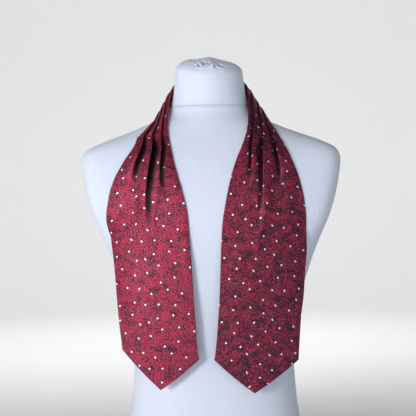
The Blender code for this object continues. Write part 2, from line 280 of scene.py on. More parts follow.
# Heights of each blade's corners and tip, the tip's share of the width from the inner edge, and
# how far the outer edge stands out just behind and just below the seam
BLADE_CORNERS = {
    "wearers_right": {"seam_inner": 562, "seam_outer": 557, "low_inner": 195.5, "low_outer": 210,
                      "tip": 146, "tip_share": 0.504, "flare_above": 2.2, "flare_below": 0.6},
    "wearers_left": {"seam_inner": 566.5, "seam_outer": 550, "low_inner": 194, "low_outer": 189.5,
                     "tip": 138.5, "tip_share": 0.468, "flare_above": 0.3, "flare_below": 2.4},
}
FLARE_REACH = 5.0           # length over which such a flare dies away
LOW_EDGE_BOW = 2.0          # how far each side of the point bows outwards

# Each pleat's folded edge as a share of the width from the inner edge, where it has died away,
# and how high it stands where it is fullest
FOLD_NAMES = ("share_at_seam", "share_midway", "share_at_end", "end_height", "fullness")
RIGHT_FOLDS = (
    (0.26, 0.31, 0.36, 428, 7.5),
    (0.53, 0.52, 0.62, 382, 10.0),
    (0.80, 0.79, 0.80, 464, 8.5),
)
LEFT_FOLDS = (
    (0.20, 0.30, 0.34, 448, 6.5),
    (0.49, 0.48, 0.50, 390, 9.5),
    (0.76, 0.78, 0.79, 466, 8.5),
)
BACK_STEP = 1.6             # height of the stitched pleats at the back of the neck
PLEAT_RUN = 0.5             # how far across the cloth a stitched pleat's step takes
FOLD_OPENING = 34.0         # length below the neckband in which a pleat opens into a full fold
FOLD_RUN = 3.0              # how far across the cloth an open fold's steep side reaches
FOLD_RUN_END = 15.0         # the same where the fold has died away
INNER_SWELL = 0.35          # height of the flat inner strip's swell, as a share of the first fold
FOLD_LEAN = 0.5             # how far a fold leans over the valley before it, as a share of its rise
FULL_SHADE_RISE = 4.0       # a fold this high gets the full painted shade in the valley before it, as it keeps the light out
FAR_SIDE_SHADE = 0.8        # the painted shade is weaker on the viewer's right, whose folds open towards the light

# The neckband's two edges, from the centre back to a little behind its end
BAND_NAMES = ("upper_x", "upper_y", "upper_z", "lower_x", "lower_y", "lower_z")
RIGHT_BAND = (
    (0, 60, 668, 0, 78, 614),
    (33, 51, 666, 48, 62, 611),
    (57, 24, 661, 80, 35, 604),
    (62.5, -4, 649, 91, 2, 597),
    (68.5, -31, 614, 96, -26, 588),
    (70, -57, 589, 106, -46, 574),
)
LEFT_BAND = (
    (0, 60, 668, 0, 78, 614),
    (33, 51, 666, 50, 62, 611),
    (58, 24, 662, 84, 35, 606),
    (64, -4, 649, 96, 2, 598),
    (65, -33, 617, 101, -27, 588),
    (64, -59, 592, 107, -49, 573),
)

# Creases and soft waves of the hanging cloth: path as real x and z, half width, and how far the
# cloth stands out along it, which is negative in a trough
CREASE_NAMES = ("path", "width", "height")
RIGHT_CREASES = (
    (((-76, 472), (-77, 454), (-82, 433)), 7, -2.2),
    (((-115, 480), (-120, 463), (-129, 447)), 2.6, -1.1),
    (((-133, 486), (-133, 458)), 5, -1.4),
    (((-115, 405), (-115, 380), (-113, 352)), 7, -1.3),
    (((-96, 450), (-98, 414), (-98, 370)), 8, 1.5),
    (((-151, 496), (-162, 463), (-164, 428)), 6, -0.9),
    (((-76, 376), (-69, 309), (-64, 240)), 13, -1.0),
    (((-135, 360), (-126, 276), (-115, 208)), 13, 0.9),
    (((-104, 250), (-94, 210), (-90, 176)), 9, 0.7),
    (((-72, 545), (-80, 551), (-92, 550)), 2.0, -0.6),
    (((-140, 520), (-147, 500), (-152, 478)), 3.5, 0.8),
    (((-47, 440), (-45, 380), (-42, 330)), 7, 0.8),
)
LEFT_CREASES = (
    (((71, 478), (70, 455), (66, 433)), 7, -2.4),
    (((55, 552), (49, 531), (40, 506)), 3.5, -1.0),
    (((88, 446), (85, 419), (77, 393), (71, 365)), 5.5, 2.0),
    (((93, 430), (91, 395), (89, 360)), 8, -2.0),
    (((111, 478), (105, 454), (99, 430)), 6, -2.2),
    (((123, 480), (125, 451), (126, 422)), 6, 1.4),
    (((115, 201), (107, 188), (99, 174)), 3.2, 1.7),
    (((121, 193), (113, 181), (106, 170)), 3.5, -0.9),
    (((45, 390), (41, 307), (36, 222)), 14, 1.0),
    (((103, 356), (95, 273), (87, 204)), 14, -1.1),
    (((132, 400), (128, 340), (124, 280)), 11, 1.0),
    (((66, 556), (74, 548), (88, 546)), 2.0, -0.6),
    (((140, 520), (146, 497), (149, 470)), 4, -0.8),
)

# Rows and columns of points in the cloth
BAND_ROWS = 96              # from the centre back to one end of the neckband
BLADE_ROWS = ((0.0, 0.36, 100), (0.36, 1.0, 120))   # from share, to share of the length, rows
STRIP_COLUMNS = 22          # across one strip between two pleats
RISE_COLUMNS = 8            # up the steep side of one pleat
TIP_FROM = 0.6              # share of the blade's length where its columns begin to lead to the tip
RIM_STEPS = 5               # round the cloth's edge from its outside to its inside
SEAM_GAP = 0.35             # between two pieces where they are sewn together
REST_GAP = 0.5              # between the cloth and the form that it lies on
CUT_WIDTH = 140.0           # width of the cloth before it is pleated

# The repeat of the pin dots on the flat cut: its height, and the dots in it, each with its distance
# from the inner edge and its place along the cloth
REPEAT_HEIGHT = 103.5
REPEAT_DOTS = (
    (5.5, 30), (14, 63.5), (22, 9.5), (24.5, 90.5), (25.5, 46), (30, 29), (36.5, 69),
    (47, 80.5), (49, 5), (52.5, 46.5), (55.5, 25), (63.5, 64.5), (69, 96.5), (70.5, 14.5),
    (75, 42), (84, 75), (86, 17.5), (90.5, 96.5), (93.5, 51), (99, 30), (105.5, 74),
    (114.5, 2.5), (122.5, 48.5), (124, 25), (127, 85), (131.5, 66), (139, 2),
)


def smooth(at, places, values):
    """Read a table smoothly between its rows, with no overshoot past them."""
    places = np.asarray(places, float)
    values = np.asarray(values, float)
    at = np.clip(np.asarray(at, float), places[0], places[-1])
    steps = np.diff(places)
    slopes = np.diff(values) / steps
    tangents = np.concatenate(([slopes[0]], np.zeros(len(slopes) - 1), [slopes[-1]]))
    same_way = slopes[:-1] * slopes[1:] > 0
    before, after = slopes[:-1][same_way], slopes[1:][same_way]
    tangents[1:-1][same_way] = 2 * before * after / (before + after)
    row = np.clip(np.searchsorted(places, at, side="right") - 1, 0, len(steps) - 1)
    step = steps[row]
    t = (at - places[row]) / step
    return ((2 * t**3 - 3 * t**2 + 1) * values[row] + (t**3 - 2 * t**2 + t) * step * tangents[row]
            + (3 * t**2 - 2 * t**3) * values[row + 1] + (t**3 - t**2) * step * tangents[row + 1])


def columns(table, names, *wanted):
    """The wanted columns of a table, by their names."""
    return np.asarray(table, float)[:, [names.index(name) for name in wanted]]


def read(table, names, name, at):
    """One named column of a section table, at any height."""
    return smooth(at, *columns(table, names, "height", name).T)


def ease(share):
    """Go from 0 to 1 with a soft start and a soft end."""
    share = np.clip(share, 0.0, 1.0)
    return share * share * (3 - 2 * share)


def bell(distance, half_width):
    """1 at no distance, falling away to nothing in a soft curve."""
    return np.exp(-(distance / half_width) ** 2)


def spread(stretches):
    """Places along a length, from rows of (from, to, steps)."""
    places = [np.linspace(start, end, steps, endpoint=False) for start, end, steps in stretches]
    return np.concatenate(places + [[stretches[-1][1]]])


def unit(vectors):
    """The same directions, each one long."""
    return vectors / np.linalg.norm(vectors, axis=-1, keepdims=True)


def near_path(points, path):
    """Distance of every point from a smooth path, and how far along the path it lies, from 0 to 1."""
    stations = np.array(path, float)
    share = np.linspace(0, 1, len(stations))
    steps = np.linspace(0, 1, 8 * len(stations))
    dense = np.stack([smooth(steps, share, axis) for axis in stations.T], axis=-1)
    flat = points.reshape(-1, points.shape[-1])
    nearest = np.full(len(flat), np.inf)
    along = np.zeros(len(flat))
    for start, end, from_share, to_share in zip(dense, dense[1:], steps, steps[1:]):
        way = end - start
        t = np.clip((flat - start) @ way / (way @ way), 0, 1)
        distance = np.linalg.norm(flat - start - t[:, None] * way, axis=-1)
        closer = distance < nearest
        nearest[closer] = distance[closer]
        along[closer] = (from_share + (to_share - from_share) * t)[closer]
    return nearest.reshape(points.shape[:-1]), along.reshape(points.shape[:-1])


def fading(along):
    """A crease's depth along its path: full in the middle and run out at both ends."""
    return np.sin(math.pi * np.clip(along, 0, 1)) ** 0.6


def neck_lean(height):
    """Slope of a section of the neck, which rises towards the back."""
    share = np.clip((height - NECK_LEAN_FROM) / (FORM_SECTIONS[-1][0] - NECK_LEAN_FROM), 0, 1)
    return math.tan(math.radians(NECK_LEAN)) * share


def form_ring(height, width_share=1.0, lift=0.0, inset=0.0):
    """One ring of points round the dress form, from the centre back round to the centre back."""
    half_width, front, back, middle, squareness = (
        read(FORM_SECTIONS, FORM_NAMES, name, height) for name in FORM_NAMES[1:])
    turn = np.linspace(0.5 * math.pi, 2.5 * math.pi, FORM_AROUND + 1)
    sideways = ease((np.abs(np.cos(turn)) - CORNER_FROM) / (CORNER_FULL - CORNER_FROM))
    squarer = read(FRONT_CORNERS, CORNER_NAMES, "squarer", height)
    squareness = squareness + squarer * np.where(np.sin(turn) < 0, sideways, 0.0)
    across = np.sign(np.cos(turn)) * np.abs(np.cos(turn)) ** (2 / squareness)
    along = np.sign(np.sin(turn)) * np.abs(np.sin(turn)) ** (2 / squareness)
    depth = np.where(along < 0, middle - front, back - middle)
    x = (half_width * width_share - inset) * across
    y = (depth * width_share - inset) * along
    z = height + lift + y * neck_lean(height)
    return np.stack([x, y + middle, z], axis=-1)


def form_rings():
    """The rings of the dress form up to its cap, and the level at which each one lies."""
    rings, levels = [], []
    for step in range(BASE_STEPS):
        turn = 0.5 * math.pi * step / BASE_STEPS
        height = BASE_ROUND * (1 - math.cos(turn))
        rings.append(form_ring(height, inset=BASE_ROUND * (1 - math.sin(turn))))
        levels.append(height)
    for height in spread(FORM_LEVELS):
        rings.append(form_ring(height))
        levels.append(height)
    top = FORM_SECTIONS[-1][0]
    for ring in range(1, CAP_RINGS + 1):
        turn = 0.5 * math.pi * ring / (CAP_RINGS + 1)
        lift = CAP_RISE * math.sin(turn)
        rings.append(form_ring(top, width_share=math.cos(turn) ** CAP_FULLNESS, lift=lift))
        levels.append(top + lift)
    return np.array(rings), np.array(levels)


def form_crown():
    """The point that closes the cap."""
    top = FORM_SECTIONS[-1][0]
    return np.array([0.0, read(FORM_SECTIONS, FORM_NAMES, "middle", top), top + CAP_RISE])


def form_normals(rings):
    """The way out of the form at every point of its rings, whose first and last columns meet."""
    around = np.roll(rings[:, :-1], -1, axis=1) - np.roll(rings[:, :-1], 1, axis=1)
    around = np.concatenate([around, around[:, :1]], axis=1)
    return unit(np.cross(around, np.gradient(rings, axis=0)))


def gathers(rings):
    """How deep the gathers on the front of the cap are at every point, as a share."""
    seen = rings[..., [0, 2]]
    relief = np.zeros(rings.shape[:2])
    for row in GATHERS:
        gather = dict(zip(GATHER_NAMES, row))
        distance, along = near_path(seen, gather["path"])
        width = gather["width"]
        shape = gather["lips"] * bell(distance - 2 * width, 1.3 * width) - bell(distance, width)
        relief += gather["depth"] * fading(along) * shape
    for (x, z, width, depth), sign in ((GATHER_HOLLOW, -1), (GATHER_KNOT, 1)):
        relief += sign * depth * bell(np.hypot(seen[..., 0] - x, seen[..., 1] - z), width)
    in_front = ease((form_crown()[1] - rings[..., 1]) / 12)
    return relief * in_front


def crown_fall(points, levels):
    """How far the cap lies below an even dome, in millimetres."""
    falls = smooth(points[..., 0], *columns(CROWN_FALLS, CROWN_NAMES, *CROWN_NAMES).T)
    top = FORM_SECTIONS[-1][0]
    whole_slope = smooth(points[..., 0], *CROWN_SLOPE)
    bumps = (falls - whole_slope) * ease((levels - top) / (0.7 * CAP_RISE))[:, None]
    return whole_slope * ease((levels - CROWN_FALL_FROM) / (top - CROWN_FALL_FROM))[:, None] + bumps


def soft_unevenness(points, seed, lengths, height):
    """A few slow waves over a surface, from fixed random directions, in millimetres."""
    draw = np.random.default_rng(seed)
    total = np.zeros(points.shape[:-1])
    for length in lengths:
        direction = unit(draw.normal(size=3))
        total += np.sin(points @ direction * 2 * math.pi / length + draw.uniform(0, 2 * math.pi))
    return height * total / len(lengths)


def form_surface(seam_depth, gather_depth):
    """The dress form's finished rings, with its neck seam, gathers and slight unevenness, and the
    painted shade of every point in the gathers' troughs and the seam lines, from 0 to 1."""
    rings, levels = form_rings()
    normals = form_normals(rings)
    lines = sum(bell(levels - height, NECK_SEAM_WIDTH) * share
                for height, share in zip(NECK_SEAM, NECK_SEAM_SHARES))
    ridge = bell(levels - sum(NECK_SEAM) / 2, NECK_SEAM_WIDTH)
    folded = gathers(rings)
    relief = (0.4 * ridge - lines)[:, None] * seam_depth + folded * gather_depth
    # painted shade in the gathers' troughs and along the seam lines
    painted_shades = np.clip(np.maximum(-1.5 * folded - 0.2, 0.4 * lines[:, None]), 0, 1)
    clear_of_base = ease(levels / 30)[:, None]
    waves = soft_unevenness(rings, 5, (190, 130, 90, 70, 52), 0.35)
    finished = rings + normals * (relief + waves * clear_of_base)[..., None]
    finished[..., 2] -= crown_fall(rings, levels)
    return finished, painted_shades


def hang_surface(x, z):
    """How far forward the inside of a hanging blade lies, at a place and height."""
    half_width, front, squareness = (
        read(HANG_SECTIONS, HANG_NAMES, name, z) for name in HANG_NAMES[1:])
    share = np.clip(np.abs(x) / half_width, 0, 0.999)
    return front * (1 - share**squareness) ** (1 / squareness)


def meet_tip(across, tip_share, amount):
    """Lead the column that lies nearest to the blade's tip onto it."""
    nearest = across[np.argmin(np.abs(across - tip_share))]
    led = np.interp(across, [0, nearest, 1], [0, tip_share, 1])
    return across + (led - across) * amount


def blade_rows(side, edges, corners, shares):
    """Rows of one blade from its seam down to its point, one set of column shares for each row."""
    rows = []
    tip = corners["tip_share"]
    for down, across in zip(spread(BLADE_ROWS), shares):
        across = meet_tip(across, tip, ease((down - TIP_FROM) / (1 - TIP_FROM)))
        seam = corners["seam_inner"] + (corners["seam_outer"] - corners["seam_inner"]) * across
        low = np.interp(across, [0, tip, 1],
                        [corners["low_inner"], corners["tip"], corners["low_outer"]])
        beside_tip = np.where(across < tip, across / tip, (1 - across) / (1 - tip))
        low = low - LOW_EDGE_BOW * np.sin(math.pi * beside_tip) * ease(down)
        z = seam + (low - seam) * down
        inner = read(edges, BLADE_NAMES, "inner", z[0])
        outer = read(edges, BLADE_NAMES, "outer", z[-1])
        outer = outer + corners["flare_below"] * bell(corners["seam_outer"] - z[-1], FLARE_REACH)
        x = inner + (outer - inner) * across
        rows.append(np.stack([side * x, hang_surface(x, z), z], axis=-1))
    return np.array(rows)


def band_rows(side, band, corners, seam_row, shares):
    """Rows of half the neckband, from the centre back to its seam with the blade."""
    edges = []
    for edge, seam_end in (("upper", seam_row[0]), ("lower", seam_row[-1])):
        stations = columns(band, BAND_NAMES, edge + "_x", edge + "_y", edge + "_z") * (side, 1, 1)
        past_centre = stations[1] * (-1, 1, 1)
        edges.append(np.vstack([past_centre, stations, seam_end]))
    places = np.arange(len(edges[0])) - 1
    bow = seam_row - (seam_row[0] + (seam_row[-1] - seam_row[0]) * shares[-1][:, None])
    rows = []
    for row, along in enumerate(np.linspace(0, places[-1], BAND_ROWS + 1)):
        upper, lower = (np.array([smooth(along, places, axis) for axis in edge.T]) for edge in edges)
        from_seam = np.linalg.norm(lower - seam_row[-1])
        flare = (corners["flare_above"] - corners["flare_below"]) * bell(from_seam, FLARE_REACH)
        flare = flare * ease(from_seam / 1.5)
        lower = lower + flare * unit(lower - upper)
        near_seam = ease(along - places[-1] + 1)
        rows.append(upper + (lower - upper) * shares[row][:, None] + bow * near_seam)
    return np.array(rows)


def fold_state(folds, seam_height, height, pleat_step):
    """Share across the cloth, rise and steep run in millimetres of each fold, at a height."""
    state = []
    for row in folds:
        fold = dict(zip(FOLD_NAMES, row))
        down = np.clip((seam_height - height) / (seam_height - fold["end_height"]), 0, 1)
        share = (fold["share_at_seam"] * (1 - down) * (1 - 2 * down)
                 + fold["share_midway"] * 4 * down * (1 - down)
                 + fold["share_at_end"] * down * (2 * down - 1))
        opened = ease((seam_height - height) / FOLD_OPENING)
        full_rise = pleat_step + (fold["fullness"] - pleat_step) * opened
        run = PLEAT_RUN + (FOLD_RUN - PLEAT_RUN) * opened + (FOLD_RUN_END - FOLD_RUN) * ease(down)**3
        state.append((share, full_rise * (1 - ease(down) ** 1.5), run))
    return state


def falling(share, softness):
    """A fold's far side: round at its top, and at its foot sharp where pleated or soft where open."""
    crisp = np.cos(0.5 * math.pi * share)
    soft = 0.5 + 0.5 * np.cos(math.pi * share)
    return crisp + (soft - crisp) * softness


def climbing(share, softness):
    """How far across and how high a fold's steep side has come, both as shares."""
    turn = 0.5 * math.pi * share
    across = (1 - np.cos(turn)) * (1 - softness) + share * softness
    height = np.sin(turn) * (1 - softness) + (0.5 - 0.5 * np.cos(math.pi * share)) * softness
    return across, height


def across_row(state, width, softness, died_away):
    """One row's columns: their shares across, and in millimetres how far they stand out and lean
    over the valley before them. The last number is the painted shade that darkens them in a
    fold's valley, from 0 to 1."""
    shares, rises, leans, painted_shades = [0.0], [0.0], [0.0], [0.0]
    start, last_rise, last_lean = 0.0, 0.0, 0.0
    for number, (edge, rise, run) in enumerate(state):
        valley = edge - run / width
        lean = FOLD_LEAN * rise * (1 - died_away[number])
        strip = np.arange(1, STRIP_COLUMNS + 1) / STRIP_COLUMNS
        shares += list(start + (valley - start) * strip)
        if number == 0:
            rises += list(rise * INNER_SWELL * np.sin(math.pi * strip))
        else:
            rises += list(last_rise * falling(strip, softness))
        leans += list(last_lean * (1 - ease(strip)))
        from_valley = (valley - start) * width * (1 - strip)
        # painted shade: dark in the valley before a high fold, fading across the strip and up the
        # fold's steep side
        shade = ease(rise / FULL_SHADE_RISE)
        painted_shades += list(shade * (1 - ease((from_valley - 0.6 * rise - 2.0) / (0.5 * rise + 1.5))))
        climb = np.arange(1, RISE_COLUMNS + 1) / RISE_COLUMNS
        over, up = climbing(climb, died_away[number])
        shares += list(valley + (edge - valley) * over)
        rises += list(rise * up)
        leans += list(lean * up)
        painted_shades += list(shade * (1 - ease(1.6 * climb)))
        start, last_rise, last_lean = edge, rise, lean
    strip = np.arange(1, STRIP_COLUMNS + 2) / (STRIP_COLUMNS + 1)
    shares += list(start + (1 - start) * strip)
    rises += list(last_rise * falling(strip, softness))
    leans += list(last_lean * (1 - ease(strip)))
    painted_shades += [0.0] * len(strip)
    return np.array(shares), np.array([rises, leans, painted_shades])


def side_rows(side, band, edges, corners, folds, pleat_step):
    """Base points and profiles of half the cravat, from the centre back down to one tip."""
    seam_height = corners["seam_inner"]
    blade_shares, blade_profiles = [], []
    for height in seam_height + (corners["tip"] - seam_height) * spread(BLADE_ROWS):
        inner, outer = (read(edges, BLADE_NAMES, edge, height) for edge in ("inner", "outer"))
        softness = ease((seam_height - height) / (2 * FOLD_OPENING))
        state = fold_state(folds, seam_height, height, pleat_step)
        died_away = [ease((run - FOLD_RUN) / (FOLD_RUN_END - FOLD_RUN)) for _, _, run in state]
        shares, profile = across_row(state, outer - inner, softness, died_away)
        blade_shares.append(shares)
        blade_profiles.append(profile)
    blade = blade_rows(side, edges, corners, blade_shares)

    sewn = np.array(fold_state(folds, seam_height, seam_height, pleat_step))
    even = np.array([(0.25 * number, BACK_STEP, PLEAT_RUN) for number in (1, 2, 3)])
    seam_width = np.linalg.norm(blade[0][-1] - blade[0][0])
    band_shares, band_profiles = [], []
    for along in np.linspace(0, 1, BAND_ROWS + 1):
        state = even + (sewn - even) * along
        shares, profile = across_row(state, seam_width, 0.0, (0.0, 0.0, 0.0))
        band_shares.append(shares)
        band_profiles.append(profile)
    half_band = band_rows(side, band, corners, blade[0], band_shares)
    points = np.concatenate([half_band[:-1], blade])
    return points, np.moveaxis(np.concatenate([band_profiles[:-1], blade_profiles]), 1, 0)


def surface_normals(points):
    """The way out of the cloth at every point of its rows and columns."""
    along = np.gradient(points, axis=0)
    across = np.gradient(points, axis=1)
    return unit(np.cross(along, across))


def creased(points, creases):
    """How far creases and soft waves stand out at every point of hanging cloth."""
    relief = np.zeros(points.shape[:2])
    for row in creases:
        crease = dict(zip(CREASE_NAMES, row))
        distance, along = near_path(points[..., [0, 2]], crease["path"])
        relief += crease["height"] * fading(along) * bell(distance, crease["width"])
    return relief


def settle(points, form_tree):
    """Move the cloth's inside out to the form's surface wherever it would sink into it."""
    settled = points.copy()
    for place in np.ndindex(points.shape[:2]):
        nearest, normal, _, distance = form_tree.find_nearest(points[place])
        outside = np.dot(points[place] - np.array(nearest), np.array(normal)) > 0
        if not outside or distance < REST_GAP:
            settled[place] = np.array(nearest) + REST_GAP * np.array(normal)
    return settled


def cloth_measures(points):
    """Distances across the cloth from its inner edge, and along it from the centre back."""
    across = np.linalg.norm(np.diff(points, axis=1), axis=-1)
    steps = np.diff(points[BAND_ROWS:], axis=1)
    across[BAND_ROWS:] = np.hypot(steps[..., 0], steps[..., 1])
    across = np.concatenate([np.zeros((len(points), 1)), np.cumsum(across, axis=1)], axis=1)
    middle = points.shape[1] // 2
    band_steps = np.linalg.norm(np.diff(points[:BAND_ROWS + 1, middle], axis=0), axis=-1)
    band = np.concatenate([[0.0], np.cumsum(band_steps)])
    along = np.repeat(band[:, None], points.shape[1], axis=1)
    falls = np.diff(points[BAND_ROWS:], axis=0)
    blade = band[-1] + np.cumsum(np.hypot(falls[..., 1], falls[..., 2]), axis=0)
    return across, np.concatenate([along, blade])


def cloth_strip(form_tree, wall, pleat_step):
    """The whole cravat as one length of cloth: its inside, its outside, and for every point its
    pattern place and the painted shade of a fold's valley on it. The last is the number of the
    middle row."""
    halves = []
    for side, band, edges, name, folds, creases in (
            (-1, RIGHT_BAND, RIGHT_BLADE_EDGES, "wearers_right", RIGHT_FOLDS, RIGHT_CREASES),
            (1, LEFT_BAND, LEFT_BLADE_EDGES, "wearers_left", LEFT_FOLDS, LEFT_CREASES)):
        points, profiles = side_rows(side, band, edges, BLADE_CORNERS[name], folds, pleat_step)
        hanging = ease(np.arange(len(points)) / BAND_ROWS - 1 + 0.1)[:, None]
        profiles[0] = np.maximum(profiles[0] + creased(points, creases) * hanging, 0.0)
        points = settle(points, form_tree)
        halves.append((points, profiles))
    (right, right_profiles), (left, left_profiles) = halves
    left_profiles[2] = FAR_SIDE_SHADE * left_profiles[2]**2
    base = np.concatenate([right[::-1], left[1:]])
    profiles = np.concatenate([right_profiles[:, ::-1], left_profiles[:, 1:]], axis=1)
    rises, leans, painted_shades = profiles[..., None]
    out = surface_normals(base)
    inside = base + out * rises
    outside = inside + out * wall - unit(np.gradient(base, axis=1)) * leans
    centre = len(right) - 1
    places = []
    for half, direction in ((outside[centre::-1], -1), (outside[centre:], 1)):
        across, along = cloth_measures(half)
        hidden = np.broadcast_to(tucked_away(across[:, -1])[:, None], across.shape)
        places.append(np.stack([across, direction * along, hidden], axis=-1))
    places = np.concatenate([places[0][::-1], places[1][1:]])
    return inside, outside, places, painted_shades[..., 0], centre


def rim_loop(rows, cols):
    """Row and column of every place round the edge of the cloth, in order."""
    loop = [(0, col) for col in range(cols)]
    loop += [(row, cols - 1) for row in range(1, rows)]
    loop += [(rows - 1, col) for col in range(cols - 2, -1, -1)]
    return loop + [(row, 0) for row in range(rows - 2, 0, -1)]


def tucked_away(widths):
    """How much cloth each pleat hides in every row of one half, from the seam down to its tip."""
    widest = int(np.argmax(widths))
    hidden = (widths[widest] - widths) / 3
    hidden[widest:] = 0.0
    return hidden


def cloth_shell(name, inside, outside, places, painted_shades, finish):
    """A closed wall of cloth with rounded edges, and its pattern places as a UV map in metres."""
    rows, cols = inside.shape[:2]
    middle = (inside + outside) / 2
    loop = rim_loop(rows, cols)
    out_of_edge = np.zeros_like(middle)
    out_of_edge[0] += unit(middle[0] - middle[1])
    out_of_edge[-1] += unit(middle[-1] - middle[-2])
    out_of_edge[:, 0] += unit(middle[:, 0] - middle[:, 1])
    out_of_edge[:, -1] += unit(middle[:, -1] - middle[:, -2])

    half = (outside - inside) / 2
    reach = np.linalg.norm(half, axis=-1, keepdims=True)
    on_rim = np.zeros((rows, cols, 1))
    for place in loop:
        out_of_edge[place] = unit(out_of_edge[place])
        on_rim[place] = 1
    outer = outside - out_of_edge * reach * on_rim
    inner = inside - out_of_edge * reach * on_rim
    faces, marks = [], []

    def number(layer, row, col):
        return (layer * rows + row) * cols + col

    strip = np.minimum(np.arange(cols) // (STRIP_COLUMNS + RISE_COLUMNS), 3)
    jump = STRIP_COLUMNS
    lap = np.array([sum(col >= jump + fold * (STRIP_COLUMNS + RISE_COLUMNS) for fold in range(3))
                    for col in range(cols - 1)])
    for row in range(rows - 1):
        for col in range(cols - 1):
            corners = ((row, col), (row + 1, col), (row + 1, col + 1), (row, col + 1))
            faces.append([number(0, r, c) for r, c in corners])
            marks.append([(r, c, lap[col]) for r, c in corners])
            corners = corners[::-1]
            faces.append([number(1, r, c) for r, c in corners])
            marks.append([(r, c, lap[col]) for r, c in corners])
    points = [outer.reshape(-1, 3), inner.reshape(-1, 3)]
    first = 2 * rows * cols
    turns = [math.pi * step / (RIM_STEPS + 1) for step in range(1, RIM_STEPS + 1)]
    rim_points = []
    for place in loop:
        for turn in turns:
            rim_points.append(middle[place] + half[place] * math.cos(turn)
                              + out_of_edge[place] * reach[place] * (math.sin(turn) - 1))
    points.append(np.array(rim_points))
    lap = np.append(lap, lap[-1])
    for spot, place in enumerate(loop):
        ahead = (spot + 1) % len(loop)
        here = [number(0, *place)] + [first + spot * RIM_STEPS + step for step in range(RIM_STEPS)]
        next_place = loop[ahead]
        there = [number(0, *next_place)]
        there += [first + ahead * RIM_STEPS + step for step in range(RIM_STEPS)]
        here.append(number(1, *place))
        there.append(number(1, *next_place))
        layer = min(lap[place[1]], lap[next_place[1]])
        mark_here, mark_there = (*place, layer), (*next_place, layer)
        for step in range(RIM_STEPS + 1):
            faces.append([here[step], there[step], there[step + 1], here[step + 1]])
            marks.append([mark_here, mark_there, mark_there, mark_here])

    mesh = bpy.data.meshes.new(name)
    mesh.from_pydata((np.concatenate(points) * MM).tolist(), [], faces)
    marks = np.array(marks).reshape(-1, 3)
    uv = places[marks[:, 0], marks[:, 1], :2].copy()
    uv[:, 0] += places[marks[:, 0], marks[:, 1], 2] * marks[:, 2]
    layer = mesh.uv_layers.new(name="cut")
    layer.data.foreach_set("uv", (uv * MM).astype(np.float32).ravel())
    # painted shade of the folds' valleys, which the silk takes as a darker colour
    rim_painted_shades = np.repeat([painted_shades[place] for place in loop], RIM_STEPS)
    shade = mesh.attributes.new("painted_fold_shade", "FLOAT", "POINT")
    values = np.concatenate([painted_shades.ravel(), painted_shades.ravel(), rim_painted_shades])
    shade.data.foreach_set("value", values.astype(np.float32))
    return new_object(name, mesh, finish)


def new_object(name, mesh, finish):
    """Put a finished mesh in the scene, smooth, with its one material."""
    mesh.materials.clear()
    mesh.materials.append(finish)
    mesh.validate()
    mesh.shade_smooth()
    piece = bpy.data.objects.new(name, mesh)
    bpy.context.scene.collection.objects.link(piece)
    return piece


def cut(strip, first, last, trim_first, trim_last):
    """The rows of one sewn piece, with its seam edges drawn back from its neighbour."""
    pieces = []
    for face in strip:
        rows = face[first:last + 1].copy()
        if trim_first:
            rows[0] += SEAM_GAP * unit(face[first + 1] - face[first])
        if trim_last:
            rows[-1] += SEAM_GAP * unit(face[last - 1] - face[last])
        pieces.append(rows)
    return pieces


def form_mesh(name, rings, painted_shades):
    """The closed mesh of the dress form, with its knit's places as a UV map in metres."""
    levels, around = rings.shape[0], rings.shape[1] - 1
    steps = np.linalg.norm(np.diff(rings, axis=1), axis=-1)
    across = np.concatenate([np.zeros((levels, 1)), np.cumsum(steps, axis=1)], axis=1)
    across = across - across[:, around // 2][:, None]
    climbs = np.linalg.norm(np.diff(rings[:, around // 2], axis=0), axis=-1)
    up = np.concatenate([[0.0], np.cumsum(climbs)])
    faces, marks = [], []
    for level in range(levels - 1):
        for col in range(around):
            corners = ((level, col), (level, col + 1), (level + 1, col + 1), (level + 1, col))
            faces.append([row * around + c % around for row, c in corners])
            marks += corners
    base_centre, top = levels * around, levels * around + 1
    for col in range(around):
        ahead = (col + 1) % around
        faces.append([(levels - 1) * around + col, (levels - 1) * around + ahead, top])
        marks += [(levels - 1, col), (levels - 1, col + 1), (levels - 1, col)]
        faces.append([ahead, col, base_centre])
        marks += [(0, col + 1), (0, col), (0, col)]
    flat_middle = np.array([0.0, rings[0, :, 1].mean(), rings[0, 0, 2]])
    crown = rings[-1, :-1].mean(axis=0)
    points = np.concatenate([rings[:, :-1].reshape(-1, 3), [flat_middle, crown]])
    mesh = bpy.data.meshes.new(name)
    mesh.from_pydata((points * MM).tolist(), [], faces)
    marks = np.array(marks)
    uv = np.stack([across[marks[:, 0], marks[:, 1]], up[marks[:, 0]]], axis=-1)
    layer = mesh.uv_layers.new(name="knit")
    layer.data.foreach_set("uv", (uv * MM).astype(np.float32).ravel())
    # painted shade of the creases, which the jersey takes as a darker colour
    shade = mesh.attributes.new("painted_crease_shade", "FLOAT", "POINT")
    values = np.concatenate([painted_shades[:, :-1].ravel(), [0.0, 0.0]])
    shade.data.foreach_set("value", values.astype(np.float32))
    return mesh


def add(tree, kind, links=None, **settings):
    """Add one node: its own settings by name, and its sockets' values or the outputs they take."""
    node = tree.nodes.new(kind)
    for name, value in settings.items():
        setattr(node, name, value)
    for socket, value in (links or {}).items():
        target = node.inputs[socket]
        if isinstance(value, bpy.types.NodeSocket):
            tree.links.new(value, target)
        else:
            target.default_value = value
    return node


def ramp(tree, factor, stops):
    """Add a colour ramp with the given places and colours."""
    node = add(tree, "ShaderNodeValToRGB", {"Fac": factor})
    elements = node.color_ramp.elements
    while len(elements) < len(stops):
        elements.new(0.5)
    for element, (place, colour) in zip(elements, stops):
        element.position = place
        element.color = (*colour, 1.0) if len(colour) == 3 else colour
    return node.outputs["Color"]


def grey(value):
    """A shade of grey as a colour."""
    return (value, value, value)


def new_material(name):
    """An empty material with its shader, and both of them."""
    material = bpy.data.materials.new(name)
    material.use_nodes = True
    return material, material.node_tree, material.node_tree.nodes["Principled BSDF"]


